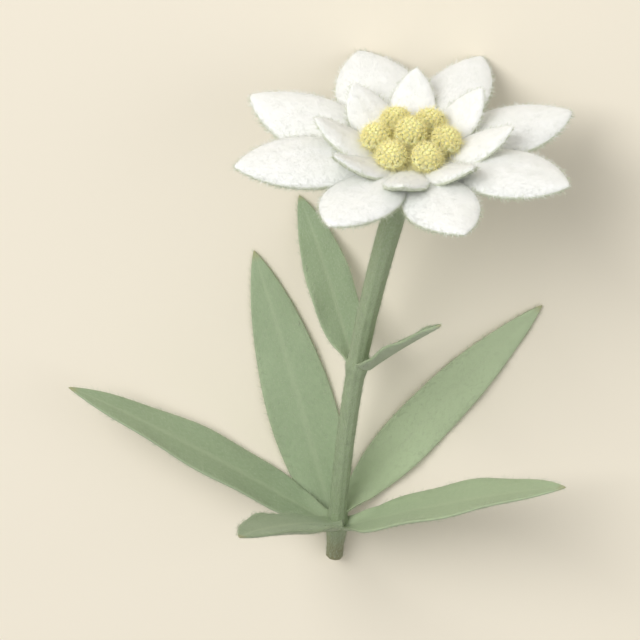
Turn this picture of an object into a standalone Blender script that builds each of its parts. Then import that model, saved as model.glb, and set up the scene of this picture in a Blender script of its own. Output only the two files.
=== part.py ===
# An edelweiss, cut at the ground with its rosette of leaves and laid on its back.
# Metres. +Z is up off the surface, +Y runs from the cut end towards the bloom, +X to the right.
#
# Three things touch the surface: the rim of the cut end, the undersides of the two
# leaves behind the stem, and the tips of the two lowest bracts.

import math
import random

import bmesh
import bpy
from mathutils import Matrix, Vector

# The middle of the finished part's box, measured from the cut end along the surface.
CENTRE = Vector((-0.0022, 0.0398, 0.0))

# Stem
STEM_LENGTH = 0.0735
CUT_RADIUS = 0.00125
NECK_RADIUS = 0.00190
STEM_LEAN = math.radians(-9)
STEM_BOW = -0.0020
STEM_POINTS = 13

# How the bloom sits on the stem: its lean to the side, and its nod to the front
BLOOM_LEAN = math.radians(-0.5)
BLOOM_NOD = math.radians(2)

# Outer bracts, one ring of them. The two that rest on the surface mirror each other.
OUTER_BRACTS = (
    # degrees turned from an even spacing, reach, width
    (2, 0.0252, 0.0106),
    (1, 0.0247, 0.0096),
    (-1, 0.0247, 0.0120),
    (-1, 0.0264, 0.0112),
    (-6, 0.0262, 0.0112),
    (-5, 0.0228, 0.0110),
    (0, 0.0234, 0.0104),
    (5, 0.0245, 0.0120),
)
OUTER_FIRST = math.radians(22.5)
OUTER_SPACING = 2 * math.pi / len(OUTER_BRACTS)
RESTING_BRACTS = (1, 2)
OUTER_ROOT = 0.0030
OUTER_ARCH = 0.0010
OUTER_LIFT = 0.0025

# Inner bracts, staggered between the outer ones and lifted off them
INNER_COUNT = 8
INNER_ROOT = 0.0025
INNER_REACH = 0.0142
INNER_WIDTH = 0.0068
INNER_FOOT = 0.0005
INNER_LIFT = 0.0056
LIFT_CURVE = 1.8

# What every bract shares
BRACT_PEAK = 0.56
BRACT_SHARPNESS = 0.85
BRACT_BASE_WIDTH = 0.0034
BRACT_CROWN = 0.10
BRACT_TIP_THINNING = 0.55
OUTER_DEPTH = 0.0022
INNER_DEPTH = 0.0018
BRACT_SIDES = 10
BRACT_RINGS = 12
BRACT_SEED = 7

# Receptacle: the cushion under the heads and the cone down to the stem
CUSHION_RADIUS = 0.0066
CUSHION_HALF_HEIGHT = 0.0019
CONE_TOP = 0.0045
CONE_LENGTH = 0.0046

# Flower heads
RING_HEADS = 6
RING_RADIUS = 0.00470
RING_HEAD_RADIUS = 0.00220
RING_HEAD_HEIGHT = 0.00280
RING_TILT = math.radians(16)
CENTRE_HEAD_RADIUS = 0.00230
CENTRE_HEAD_HEIGHT = 0.00400
HEAD_FOOT = 0.0024
FLORET_RADIUS = 0.00044
FLORET_TAPER = 0.7
FLORET_STAND = 0.00034
FLORET_ROOT = 0.6
FLORET_REACH_DOWN = 0.92
FLORETS_RING_HEAD = 17
FLORETS_CENTRE_HEAD = 23
GOLDEN_ANGLE = math.pi * (3 - math.sqrt(5))

# Leaves. Azimuth is about the stem, 0 to the right and 90 to the back, where the
# surface is; rise is above the plane square to the stem.
LEAVES = (
    # name, azimuth, rise, length, width, distance up the stem, turn about its own length
    ("leaf_basal_1", 180, 31, 0.0450, 0.0092, 0.0060, -5),
    ("leaf_basal_2", 104, 30, 0.0454, 0.0100, 0.0040, 0),
    ("leaf_basal_3", 47.5, 31, 0.0440, 0.0075, 0.0080, 0),
    ("leaf_basal_4", -24, 29, 0.0418, 0.0104, 0.0056, 0),
    ("leaf_basal_5", -109, 32, 0.0414, 0.0096, 0.0066, 0),
    ("leaf_stem_1", 118, 45, 0.0262, 0.0068, 0.0350, 0),
    ("leaf_stem_2", -46, 45, 0.0240, 0.0056, 0.0358, 0),
)
LEAF_PEAK = 0.44
LEAF_SHARPNESS = 0.85
LEAF_NECKING = 0.82
LEAF_NECK = 0.08
LEAF_BASE_WIDTH = 0.0021
LEAF_DEPTH = 0.0010
LEAF_TIP_THINNING = 0.4
LEAF_CHANNEL = 0.16
LYING_CHANNEL = 0.08
LEAF_ARCH = math.radians(7)
LEAF_STEPS = 60
LEAF_SIDES = 12
LEAF_RINGS = 22

# Cross-section of a blade: 1 is an ellipse, less is a slab with rounded edges
SECTION_POWER = 0.7

# How a leaf meets the surface: its middle runs out at REST_HEIGHT, coming down over
# SETTLE_HEIGHT, and its face turns up over TWIST_HEIGHT
REST_HEIGHT = 0.00032
SETTLE_HEIGHT = 0.0022
TWIST_HEIGHT = 0.0015
STEEPEST_FALL = 0.95

CLEAR = 0.0003

BRACT_COLOUR = (0.90, 0.91, 0.85)
HEAD_COLOUR = (0.88, 0.78, 0.30)
LEAF_COLOUR = (0.36, 0.43, 0.28)
STEM_COLOUR = (0.24, 0.31, 0.17)

# Slope of the stem that puts both the cut rim and the two lowest tips on the surface.
LOWEST = RESTING_BRACTS[0]
LOWEST_TURN, LOWEST_REACH = OUTER_BRACTS[LOWEST][:2]
LOWEST_AZIMUTH = OUTER_FIRST + OUTER_SPACING * LOWEST + math.radians(LOWEST_TURN)
LOWEST_TIP = Matrix.Rotation(BLOOM_NOD, 3, "X") @ Vector(
    (0, LOWEST_REACH * math.sin(LOWEST_AZIMUTH), OUTER_LIFT))
SLOPE = math.atan((LOWEST_TIP.y - CUT_RADIUS) / (STEM_LENGTH + LOWEST_TIP.z))

# Plant frames: x to the right, y to the back of the plant, z up it.
LEAF_FRAME = Matrix.Rotation(SLOPE - math.pi / 2, 3, "X")
STEM_FRAME = Matrix.Rotation(STEM_LEAN, 3, "Z") @ LEAF_FRAME
BLOOM_FRAME = (Matrix.Rotation(BLOOM_LEAN, 3, "Z") @ LEAF_FRAME
               @ Matrix.Rotation(BLOOM_NOD, 3, "X"))
CUT = Vector((0, 0, CUT_RADIUS * math.cos(SLOPE))) - CENTRE


def clear_scene():
    for old in list(bpy.data.objects):
        bpy.data.objects.remove(old, do_unlink=True)


def new_collection(name):
    made = bpy.data.collections.new(name)
    bpy.context.scene.collection.children.link(made)
    return made


def plant_material(name, colour, roughness):
    material = bpy.data.materials.new(name)
    material.use_nodes = True
    shader = material.node_tree.nodes["Principled BSDF"]
    shader.inputs["Base Color"].default_value = (*colour, 1)
    shader.inputs["Roughness"].default_value = roughness
    material.diffuse_color = (*colour, 1)
    return material


def new_object(name, mesh, collection, material):
    made = bpy.data.objects.new(name, mesh)
    collection.objects.link(made)
    mesh.materials.append(material)
    mesh.shade_smooth()
    return made


def lens(t, peak, sharpness):
    """How wide a blade is along its length: 0 at both ends and 1 at the peak."""
    rising = sharpness * peak / (1 - peak)
    return (t / peak) ** rising * ((1 - t) / (1 - peak)) ** sharpness


def half_width(t, width, base_width, peak, sharpness):
    return width / 2 * lens(t, peak, sharpness) + base_width / 2 * (1 - t) ** 3


def blade(bm, spine, half_wide, half_deep, channel, sides, rings):
    """Add a closed blade: a sphere drawn out along a spine, pole to pole.

    spine(t) gives a point, the side direction and the face direction.
    """
    made = bmesh.ops.create_uvsphere(bm, u_segments=sides, v_segments=rings, radius=1)
    for vert in made["verts"]:
        x, y, z = vert.co
        even = math.acos(max(-1, min(1, -z))) / math.pi
        t = (even + (1 + z) / 2) / 2
        around = math.hypot(x, y)
        across = x / around if around > 1e-6 else 0
        through = y / around if around > 1e-6 else 0
        point, side, face = spine(t)
        wide = half_wide(t) if around > 1e-6 else 0
        deep = half_deep(t) if around > 1e-6 else 0
        thickness = math.copysign(abs(through) ** SECTION_POWER, through) * deep
        raised = channel * wide * across * across
        vert.co = point + side * (across * wide) + face * (thickness + raised)


# Stem

def stem_axis(along):
    """A point on the stem's axis in the stem's own frame."""
    return Vector((STEM_BOW * math.sin(math.pi * along / STEM_LENGTH), 0, along))


def stem_radius(along):
    return CUT_RADIUS + (NECK_RADIUS - CUT_RADIUS) * (along / STEM_LENGTH) ** 2


def stem_top():
    return STEM_LENGTH - CONE_LENGTH - 1.5 * CLEAR


def make_stem(collection, material):
    data = bpy.data.curves.new("stem", "CURVE")
    data.dimensions = "3D"
    data.bevel_depth = 1.0
    data.bevel_resolution = 2
    data.use_fill_caps = True
    data.resolution_u = 1
    spline = data.splines.new("POLY")
    spline.points.add(STEM_POINTS - 1)
    for index, point in enumerate(spline.points):
        along = stem_top() * index / (STEM_POINTS - 1)
        point.co = (*stem_axis(along), 1)
        point.radius = stem_radius(along)
    stem = bpy.data.objects.new("stem", data)
    data.materials.append(material)
    collection.objects.link(stem)
    stem.location = CUT
    stem.rotation_euler = STEM_FRAME.to_euler()


# Leaves

def leaf_root(azimuth, up_stem):
    """Where a leaf leaves the stem, just clear of it."""
    outward = Vector((math.cos(azimuth), math.sin(azimuth), 0))
    from_axis = stem_radius(up_stem) + CLEAR
    axis = STEM_FRAME @ stem_axis(up_stem)
    return CUT + axis + LEAF_FRAME @ outward * from_axis


def leaf_spine(azimuth, rise, length, root, roll):
    """Points and directions along a leaf that arches over and runs out along the surface."""
    up_plant = LEAF_FRAME @ Vector((0, 0, 1))
    step = length / LEAF_STEPS
    point = root.copy()
    stations = []
    for index in range(LEAF_STEPS + 1):
        climb = rise + LEAF_ARCH * (0.5 - index / LEAF_STEPS)
        level = Vector((math.cos(azimuth), math.sin(azimuth), 0)) * math.cos(climb)
        heading = LEAF_FRAME @ (level + Vector((0, 0, math.sin(climb))))
        height = point.z - REST_HEIGHT
        steepest = -min(STEEPEST_FALL, max(0, height / SETTLE_HEIGHT))
        if heading.z < steepest:
            flat = Vector((heading.x, heading.y, 0)).normalized()
            heading = flat * math.sqrt(1 - steepest ** 2) + Vector((0, 0, steepest))
        lying = math.exp(-max(0, height) / TWIST_HEIGHT)
        upper = up_plant.lerp(Vector((0, 0, 1)), lying)
        face = (upper - heading * upper.dot(heading)).normalized()
        face = Matrix.Rotation(roll, 3, heading) @ face
        stations.append((point.copy(), face.cross(heading), face))
        point = point + heading * step

    def spine(t):
        place = t * LEAF_STEPS
        index = min(LEAF_STEPS - 1, int(place))
        share = place - index
        near, far = stations[index], stations[index + 1]
        return tuple(a.lerp(b, share) for a, b in zip(near, far))

    return spine


def leaf_half_width(t, width):
    """Half a leaf's width, drawn in to a neck near its base."""
    necked = 1 - LEAF_NECKING * math.exp(-t / LEAF_NECK)
    return half_width(t, width * necked, LEAF_BASE_WIDTH, LEAF_PEAK, LEAF_SHARPNESS)


def make_leaf(collection, material, name, azimuth, rise, length, width, up_stem, roll):
    azimuth = math.radians(azimuth)
    root = leaf_root(azimuth, up_stem)
    spine = leaf_spine(azimuth, math.radians(rise), length, root, math.radians(roll))
    lies = spine(0.5)[0].z < 2 * REST_HEIGHT

    def wide(t):
        return leaf_half_width(t, width)

    def deep(t):
        return LEAF_DEPTH / 2 * (1 - LEAF_TIP_THINNING * t ** 3)

    bm = bmesh.new()
    channel = LYING_CHANNEL if lies else LEAF_CHANNEL
    blade(bm, spine, wide, deep, channel, LEAF_SIDES, LEAF_RINGS)
    for vert in bm.verts:
        vert.co.z = max(0, vert.co.z)
        vert.co -= root
    mesh = bpy.data.meshes.new(name)
    bm.to_mesh(mesh)
    bm.free()
    leaf = new_object(name, mesh, collection, material)
    leaf.location = root


# Bloom, in a frame at its centre: x right, y back, z up the stem

def bloom_centre():
    return CUT + STEM_FRAME @ Vector((0, 0, STEM_LENGTH))


def place_in_bloom(thing, offset=Vector(), turn=Matrix.Identity(3)):
    thing.location = bloom_centre() + BLOOM_FRAME @ offset
    thing.rotation_euler = (BLOOM_FRAME @ turn).to_euler()


def bract_spine(azimuth, root, reach, foot, lift, arch, roll):
    outward = Vector((math.cos(azimuth), math.sin(azimuth), 0))

    def height(t):
        return foot + lift * t ** LIFT_CURVE + arch * math.sin(math.pi * t)

    def spine(t):
        point = outward * (root + (reach - root) * t) + Vector((0, 0, height(t)))
        ahead = height(min(1, t + 0.01)) - height(max(0, t - 0.01))
        span = (reach - root) * (min(1, t + 0.01) - max(0, t - 0.01))
        along = (outward * span + Vector((0, 0, ahead))).normalized()
        level = Vector((-outward.y, outward.x, 0))
        turn = Matrix.Rotation(roll * math.sin(math.pi * t), 3, along)
        side = turn @ level
        return point, side, along.cross(side)

    return spine


def bract_layouts():
    """Azimuth, reach, width, foot, lift, arch, roll, root and depth of every bract."""
    draw = random.Random(BRACT_SEED)
    layouts = []
    for index, (turned, reach, width) in enumerate(OUTER_BRACTS):
        loose = 0 if index in RESTING_BRACTS else 1
        layouts.append(dict(
            azimuth=OUTER_FIRST + index * OUTER_SPACING + math.radians(turned),
            reach=reach,
            width=width,
            foot=0,
            lift=OUTER_LIFT + loose * draw.uniform(-0.0009, 0.0009),
            arch=OUTER_ARCH * draw.uniform(0.7, 1.3),
            roll=math.radians(draw.uniform(-6, 6)),
            root=OUTER_ROOT,
            depth=OUTER_DEPTH,
        ))
    for index in range(INNER_COUNT):
        azimuth = OUTER_FIRST + (index + 0.5) * 2 * math.pi / INNER_COUNT
        layouts.append(dict(
            azimuth=azimuth + math.radians(draw.uniform(-3, 3)),
            reach=INNER_REACH * draw.uniform(0.93, 1.05),
            width=INNER_WIDTH * draw.uniform(0.93, 1.07),
            foot=INNER_FOOT,
            lift=INNER_LIFT * draw.uniform(0.8, 1.15),
            arch=0,
            roll=math.radians(draw.uniform(-6, 6)),
            root=INNER_ROOT,
            depth=INNER_DEPTH,
        ))
    return layouts


def bract_mesh(layout):
    def wide(t):
        return half_width(t, layout["width"], BRACT_BASE_WIDTH, BRACT_PEAK, BRACT_SHARPNESS)

    def deep(t):
        return layout["depth"] / 2 * (1 - BRACT_TIP_THINNING * t ** 4)

    spine = bract_spine(layout["azimuth"], layout["root"], layout["reach"], layout["foot"],
                        layout["lift"], layout["arch"], layout["roll"])
    bm = bmesh.new()
    blade(bm, spine, wide, deep, -BRACT_CROWN, BRACT_SIDES, BRACT_RINGS)
    mesh = bpy.data.meshes.new("bract")
    bm.to_mesh(mesh)
    bm.free()
    return mesh


def receptacle_mesh():
    bm = bmesh.new()
    bmesh.ops.create_uvsphere(bm, u_segments=24, v_segments=10, radius=1)
    flat = Matrix.Diagonal((CUSHION_RADIUS, CUSHION_RADIUS, CUSHION_HALF_HEIGHT, 1))
    bmesh.ops.transform(bm, matrix=flat, verts=bm.verts)
    mesh = bpy.data.meshes.new("bracts")
    bm.to_mesh(mesh)
    bm.free()
    return mesh


def cone_mesh():
    """The cone from the stem's end up to the bloom's centre, in the bloom's frame."""
    below = stem_axis(STEM_LENGTH - CONE_LENGTH) - Vector((0, 0, STEM_LENGTH))
    neck = BLOOM_FRAME.inverted() @ STEM_FRAME @ below
    bm = bmesh.new()
    bmesh.ops.create_cone(bm, cap_ends=True, segments=16, radius1=NECK_RADIUS, radius2=CONE_TOP,
                          depth=neck.length)
    bmesh.ops.translate(bm, vec=(0, 0, -neck.length / 2), verts=bm.verts)
    turn = (-neck).to_track_quat("Z", "Y").to_matrix()
    bmesh.ops.rotate(bm, matrix=turn, verts=bm.verts)
    mesh = bpy.data.meshes.new("cone")
    bm.to_mesh(mesh)
    bm.free()
    return mesh


def keep_outer_shell(mesh):
    """Fill what the union sealed: of the islands of faces, only the largest is kept."""
    bm = bmesh.new()
    bm.from_mesh(mesh)
    left = set(bm.faces)
    islands = []
    while left:
        grown = [left.pop()]
        for face in grown:
            for edge in face.edges:
                reached = [other for other in edge.link_faces if other in left]
                left.difference_update(reached)
                grown.extend(reached)
        islands.append(grown)
    islands.sort(key=len)
    for island in islands[:-1]:
        bmesh.ops.delete(bm, geom=island, context="FACES")
    bm.to_mesh(mesh)
    bm.free()


def fuse(body, meshes):
    """Join meshes to a body with one union, and drop the operands."""
    operands = new_collection("operands")
    for mesh in meshes:
        operands.objects.link(bpy.data.objects.new("operand", mesh))
    union = body.modifiers.new("union", "BOOLEAN")
    union.operation = "UNION"
    union.solver = "EXACT"
    union.operand_type = "COLLECTION"
    union.collection = operands
    bpy.context.view_layer.update()
    evaluated = body.evaluated_get(bpy.context.evaluated_depsgraph_get())
    joined = bpy.data.meshes.new_from_object(evaluated)
    keep_outer_shell(joined)
    body.modifiers.remove(union)
    body.data = joined
    for operand in list(operands.objects):
        bpy.data.objects.remove(operand, do_unlink=True)
    bpy.data.collections.remove(operands)
    joined.shade_smooth()


def make_bracts(collection, material):
    bracts = new_object("bracts", receptacle_mesh(), collection, material)
    fuse(bracts, [cone_mesh()] + [bract_mesh(layout) for layout in bract_layouts()])
    place_in_bloom(bracts)


def floret_mesh(centre, direction, stand):
    """A short five-sided floret that stands out of a head."""
    bm = bmesh.new()
    root = FLORET_ROOT * stand
    length = stand - root + FLORET_STAND
    bmesh.ops.create_cone(bm, cap_ends=True, segments=5, radius1=FLORET_RADIUS,
                          radius2=FLORET_RADIUS * FLORET_TAPER, depth=length)
    bmesh.ops.translate(bm, vec=(0, 0, root + length / 2), verts=bm.verts)
    turn = direction.to_track_quat("Z", "Y").to_matrix().to_4x4()
    bmesh.ops.transform(bm, matrix=Matrix.Translation(centre) @ turn, verts=bm.verts)
    mesh = bpy.data.meshes.new("floret")
    bm.to_mesh(mesh)
    bm.free()
    return mesh


def make_head(collection, material, name, radius, height, florets, offset, turn):
    """A head stands on its own origin: a rounded body covered in florets above."""
    middle = Vector((0, 0, height / 2))
    bm = bmesh.new()
    bmesh.ops.create_uvsphere(bm, u_segments=12, v_segments=8, radius=1)
    size = Matrix.Diagonal((radius, radius, height / 2, 1))
    bmesh.ops.transform(bm, matrix=Matrix.Translation(middle) @ size, verts=bm.verts)
    mesh = bpy.data.meshes.new(name)
    bm.to_mesh(mesh)
    bm.free()
    head = new_object(name, mesh, collection, material)
    stubs = []
    for index in range(florets):
        level = 1 - FLORET_REACH_DOWN * (index + 0.5) / florets
        ring = math.sqrt(1 - level * level)
        angle = index * GOLDEN_ANGLE
        direction = Vector((ring * math.cos(angle), ring * math.sin(angle), level))
        surface = Vector((direction.x * radius, direction.y * radius, direction.z * height / 2))
        stubs.append(floret_mesh(middle, surface.normalized(), surface.length))
    fuse(head, stubs)
    place_in_bloom(head, offset, turn)


def make_heads(collection, material):
    inner = CENTRE_HEAD_RADIUS - FLORET_STAND
    make_head(collection, material, "head_centre", inner, CENTRE_HEAD_HEIGHT,
              FLORETS_CENTRE_HEAD, Vector((0, 0, HEAD_FOOT + CLEAR)), Matrix.Identity(3))
    for index in range(RING_HEADS):
        azimuth = index * 2 * math.pi / RING_HEADS
        outward = Vector((math.cos(azimuth), math.sin(azimuth), 0))
        across = Vector((-outward.y, outward.x, 0))
        offset = outward * RING_RADIUS + Vector((0, 0, HEAD_FOOT))
        turn = Matrix.Rotation(RING_TILT, 3, across)
        make_head(collection, material, f"head_{index + 1}", RING_HEAD_RADIUS - FLORET_STAND,
                  RING_HEAD_HEIGHT, FLORETS_RING_HEAD, offset, turn)


def main():
    clear_scene()
    plant = new_collection("edelweiss")
    felt = plant_material("bract felt", BRACT_COLOUR, 0.9)
    yellow = plant_material("floret yellow", HEAD_COLOUR, 0.8)
    leaf_green = plant_material("leaf grey green", LEAF_COLOUR, 0.8)
    stem_green = plant_material("stem green", STEM_COLOUR, 0.85)
    make_stem(plant, stem_green)
    for row in LEAVES:
        make_leaf(plant, leaf_green, *row)
    make_bracts(plant, felt)
    make_heads(plant, yellow)


main()
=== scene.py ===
import math
import random

import bmesh
import bpy
import numpy as np
from mathutils import Matrix, Vector, noise


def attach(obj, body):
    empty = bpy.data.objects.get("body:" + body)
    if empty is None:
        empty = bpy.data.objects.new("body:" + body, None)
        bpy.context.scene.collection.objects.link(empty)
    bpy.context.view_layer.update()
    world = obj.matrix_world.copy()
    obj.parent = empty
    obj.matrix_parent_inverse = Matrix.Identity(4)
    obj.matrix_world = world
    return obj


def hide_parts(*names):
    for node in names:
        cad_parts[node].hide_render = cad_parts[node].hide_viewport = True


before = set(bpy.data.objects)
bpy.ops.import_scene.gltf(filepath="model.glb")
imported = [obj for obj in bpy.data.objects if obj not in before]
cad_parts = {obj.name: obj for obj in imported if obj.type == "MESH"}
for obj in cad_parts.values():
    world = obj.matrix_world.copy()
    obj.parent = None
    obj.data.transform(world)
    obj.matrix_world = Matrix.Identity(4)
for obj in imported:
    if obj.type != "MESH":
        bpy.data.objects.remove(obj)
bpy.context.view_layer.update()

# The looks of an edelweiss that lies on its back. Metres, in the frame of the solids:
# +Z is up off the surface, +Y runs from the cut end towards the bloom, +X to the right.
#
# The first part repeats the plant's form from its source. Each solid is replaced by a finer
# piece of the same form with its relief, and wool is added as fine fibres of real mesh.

# The middle of the finished part's box, measured from the cut end along the surface.
CENTRE = Vector((-0.0022, 0.0398, 0.0))

# Stem
STEM_LENGTH = 0.0735
CUT_RADIUS = 0.00125
NECK_RADIUS = 0.00190
STEM_LEAN = math.radians(-9)
STEM_BOW = -0.0020

# How the bloom sits on the stem: its lean to the side, and its nod to the front
BLOOM_LEAN = math.radians(-0.5)
BLOOM_NOD = math.radians(2)

# Outer bracts, one ring of them. The two that rest on the surface mirror each other.
OUTER_BRACTS = (
    # degrees turned from an even spacing, reach, width
    (2, 0.0252, 0.0106),
    (1, 0.0247, 0.0096),
    (-1, 0.0247, 0.0120),
    (-1, 0.0264, 0.0112),
    (-6, 0.0262, 0.0112),
    (-5, 0.0228, 0.0110),
    (0, 0.0234, 0.0104),
    (5, 0.0245, 0.0120),
)
OUTER_FIRST = math.radians(22.5)
OUTER_SPACING = 2 * math.pi / len(OUTER_BRACTS)
RESTING_BRACTS = (1, 2)
OUTER_ROOT = 0.0030
OUTER_ARCH = 0.0010
OUTER_LIFT = 0.0025

# Inner bracts, staggered between the outer ones and lifted off them
INNER_COUNT = 8
INNER_ROOT = 0.0025
INNER_REACH = 0.0142
INNER_WIDTH = 0.0068
INNER_FOOT = 0.0005
INNER_LIFT = 0.0056
LIFT_CURVE = 1.8

# What every bract shares
BRACT_PEAK = 0.56
BRACT_SHARPNESS = 0.85
BRACT_BASE_WIDTH = 0.0034
BRACT_CROWN = 0.10
BRACT_TIP_THINNING = 0.55
OUTER_DEPTH = 0.0022
INNER_DEPTH = 0.0018
BRACT_SEED = 7

# How far the draws for a bract reach: lengths, shares of the value, or degrees
OUTER_LIFT_DRAW = 0.0009
OUTER_ARCH_DRAW = (0.7, 1.3)
INNER_TURN_DRAW = 3
INNER_REACH_DRAW = (0.93, 1.05)
INNER_WIDTH_DRAW = (0.93, 1.07)
INNER_LIFT_DRAW = (0.8, 1.15)
BRACT_ROLL_DRAW = 6

# Receptacle: the cushion under the heads and the cone down to the stem. The cushion is
# higher here than in its solid, so that its wool fills the gaps between the heads.
CUSHION_RADIUS = 0.0066
CUSHION_HALF_HEIGHT = 0.0019
CUSHION_TOP = 0.0026
CUSHION_STEPS = 14
CUSHION_TURN = 0.62
CONE_LENGTH = 0.0046
CONE_STEPS = 10
CONE_CURVE = 0.75
CONE_OVERLAP = 1.03
CONE_FALL = 0.8
RECEPTACLE_LUMPS = 6

# What the cushion, the cone and a head's body keep as their "place"
CUSHION_PLACE = (0.05, 0, 1)
CONE_PLACE = (0.05, 0, -1)
HEAD_PLACE = (0, 0, 1)

# Flower heads
RING_HEADS = 6
RING_RADIUS = 0.00470
RING_HEAD_RADIUS = 0.00220
RING_HEAD_HEIGHT = 0.00280
RING_TILT = math.radians(16)
CENTRE_HEAD_RADIUS = 0.00230
CENTRE_HEAD_HEIGHT = 0.00400
HEAD_FOOT = 0.0024
FLORET_STAND = 0.00030
GOLDEN_ANGLE = math.pi * (3 - math.sqrt(5))

# Leaves. Azimuth is about the stem, 0 to the right and 90 to the back, where the
# surface is; rise is above the plane square to the stem.
LEAVES = (
    # name, azimuth, rise, length, width, distance up the stem, turn about its own length
    ("leaf_basal_1", 180, 31, 0.0450, 0.0092, 0.0060, -5),
    ("leaf_basal_2", 104, 30, 0.0454, 0.0100, 0.0040, 0),
    ("leaf_basal_3", 47.5, 31, 0.0440, 0.0075, 0.0080, 0),
    ("leaf_basal_4", -24, 29, 0.0418, 0.0104, 0.0056, 0),
    ("leaf_basal_5", -109, 32, 0.0414, 0.0096, 0.0066, 0),
    ("leaf_stem_1", 118, 45, 0.0262, 0.0068, 0.0350, 0),
    ("leaf_stem_2", -46, 45, 0.0240, 0.0056, 0.0358, 0),
)

# How far the green of a leaf is paled, as painted light on the leaves that stand more in the light
PAINTED_LIGHT_PALENESS = {"leaf_basal_2": 0.15, "leaf_basal_3": 0.75, "leaf_basal_4": 0.35}

# What every leaf shares
LEAF_PEAK = 0.44
LEAF_SHARPNESS = 0.85
LEAF_NECKING = 0.82
LEAF_NECK = 0.08
LEAF_BASE_WIDTH = 0.0021
LEAF_DEPTH = 0.0010
LEAF_TIP_THINNING = 0.4
LEAF_CHANNEL = 0.16
LYING_CHANNEL = 0.08
LEAF_ARCH = math.radians(7)
LEAF_STEPS = 240

# Cross-section of a blade: 1 is an ellipse, less is a slab with rounded edges
SECTION_POWER = 0.7

# How a leaf meets the surface: its middle runs out at REST_HEIGHT, coming down over
# SETTLE_HEIGHT, and its face turns up over TWIST_HEIGHT
REST_HEIGHT = 0.00032
SETTLE_HEIGHT = 0.0022
TWIST_HEIGHT = 0.0015
STEEPEST_FALL = 0.95

# The gap between pieces that the solids keep
CLEAR = 0.0003

# How finely the skins are drawn
BRACT_SIDES = 36
BRACT_RINGS = 56
LEAF_SIDES = 36
LEAF_RINGS = 120
STEM_SIDES = 54
STEM_RINGS = 150
HEAD_SIDES = 28
HEAD_RINGS = 18
SCALE_SIDES = 8
SCALE_RINGS = 9
TIP_ROUNDING = 22
POLE_RADIUS = 1e-6
SLOPE_STEP = 0.01

# Relief of the bracts: a furrow down the middle, one at each side, and lumps of wool
FURROW_DEPTH = 0.00013
FURROW_WIDTH = 0.00045
SIDE_FURROW = 0.46
SIDE_FURROW_SHARE = 0.5
BRACT_SWAY = 0.00035
WOOL_LUMP = 0.00009
WOOL_LUMP_LENGTH = 0.0019
WOOL_LUMP_WIDTH = 0.0008
WOOL_LUMP_FRACTAL = (1.0, 2.0, 3)

# Relief of the leaves: the rib, the veins beside it, waves, and a base that clasps the stem
RIB_GROOVE = 0.00013
RIB_KEEL = 0.00020
RIB_WIDTH = 0.00042
RIB_FADE = 0.6
VEIN_HEIGHT = 0.000022
VEIN_PAIRS = 3
GRAIN_LENGTH = 0.0015
GRAIN_WIDTH = 0.0007
LEAF_WAVE = 0.00022
LEAF_WAVES = 2.6
WAVE_SKEW = 0.25
LEAF_HEEL = 0.0010
HEEL_SHARE = 0.06
CLASP = 0.55
CLASP_SHARE = 0.12

# Relief of the stem: twisted ribs, a rough rind and a swelling under each leaf
STEM_RIBS = 9
STEM_RIB_HEIGHT = 0.000045
STEM_TWIST = 0.9
STEM_ROUGHNESS = 0.8
STEM_LUMPS = 2
STEM_LUMP_LENGTH = 0.0012
NODE_SWELL = 0.00016
NODE_SPAN = 0.0011
CUT_BEVEL = 0.00012
CUT_RINGS = (
    # how deep in the bevel and how far out from the middle, as shares
    (0.9, 0.30),
    (0.5, 0.62),
    (0, 0.84),
    (0, 0.93),
)

# Florets of the heads, which reach down from the top of a ball of radius 1. The draws are
# in radians, or shares of the value.
RING_FLORETS = 54
CENTRE_FLORETS = 72
FLORET_REACH_DOWN = 0.9176
FLORET_UPTURN = 0.35
FLORET_TURN_DRAW = 0.08
FLORET_TILT_DRAW = 0.09
FLORET_SIZE_DRAW = (0.88, 1.1)
HEAD_SEED = 40
FLORET_TUBE = 0.00015
FLORET_MOUTH = 0.00040
FLORET_NOTCH = 0.00031
FLORET_HEIGHT = 0.00030
FLORET_LOBES = 5
BUD_RADIUS = 0.00033
BUD_LEVEL = 0.80
STYLE_RADIUS = 0.00005
STYLE_HEIGHT = 0.00022

# Scales round the heads
SCALES = 11
SCALE_ROWS = (
    # how high the tips stand, as a share of the half turn up the head; how far out
    (0.62, 0.00024),
    (0.46, 0.00036),
)
SCALE_FOOT = 0.08
SCALE_WIDTH = 0.00125
SCALE_BASE_SHARE = 0.6
SCALE_PEAK = 0.5
SCALE_SHARPNESS = 0.6
SCALE_DEPTH = 0.00022
SCALE_CROWN = 0.25
SCALE_BROWN_FROM = 0.72
SCALE_BROWN_SPAN = 0.28
SCALE_BROWN = 0.8

# What a floret's or scale's "tint" says, from pale wool to brown
TINT_WOOL = 0.0
TINT_BUD = 0.3
TINT_LOBE = 0.6
TINT_DEEP = 0.8
TINT_BROWN = 1.0

# Wool: how many fibres, and what each is like. Its length and the slope that it starts with
# are given on a blade's faces, with what the margin adds.
BRACT_FIBRES = 60000
BRACT_FIBRE = dict(length=(0.00062, 0.00030), lift=(0.32, 0.45), width=0.000048,
                   spread=0.9, curl=0.16)
LEAF_FIBRES = 48000
LEAF_FIBRE = dict(length=(0.00055, 0.00030), lift=(0.22, 0.40), width=0.000036,
                  spread=0.55, curl=0.14)
STEM_FIBRES = 16000
STEM_FIBRE = dict(length=(0.0009, 0), lift=(0.30, 0), width=0.000030, spread=0.5, curl=0.2)
HEAD_FIBRES = 2400
HEAD_FIBRE = dict(length=(0.00072, 0), lift=(1.3, 0), width=0.000045, spread=1.2, curl=0.3)
CUSHION_FIBRES = 7000
CUSHION_FIBRE = dict(length=(0.00095, 0), lift=(1.3, 0), width=0.000055, spread=1.4, curl=0.3)

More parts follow.
